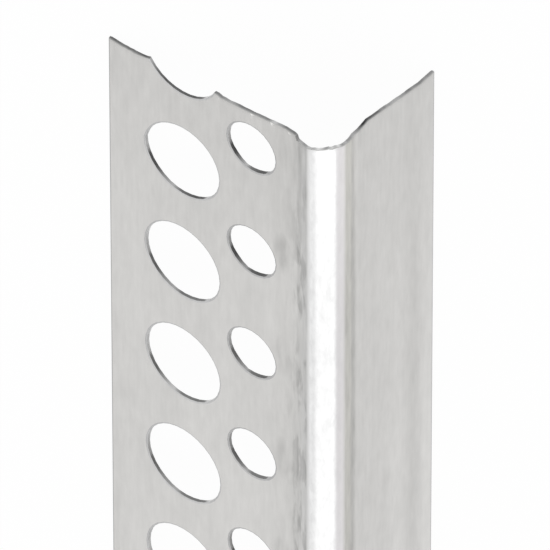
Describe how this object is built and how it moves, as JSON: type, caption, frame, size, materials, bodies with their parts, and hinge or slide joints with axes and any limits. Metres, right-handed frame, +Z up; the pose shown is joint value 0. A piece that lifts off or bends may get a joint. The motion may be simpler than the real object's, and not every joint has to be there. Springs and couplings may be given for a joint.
{
  "type": "corner bead",
  "caption": "Right-angled metal corner bead with a raised rounded nose, a wide flange punched with two rows of round holes and a narrow plain flange.",
  "frame": {"origin": "the middle of the bead's box, on the floor that it lies on", "axes": "+Z up, with the nose on top; +Y along the bead, towards its snipped end; +X towards the narrow flange"},
  "size_m": [0.0266, 2.5, 0.0117],
  "materials": {
    "mill_aluminium": "smooth rolled mill finish, even satin sheen"
  },
  "bodies": {
    "root": {"corner_bead": "mill_aluminium"}
  },
  "joints": []
}
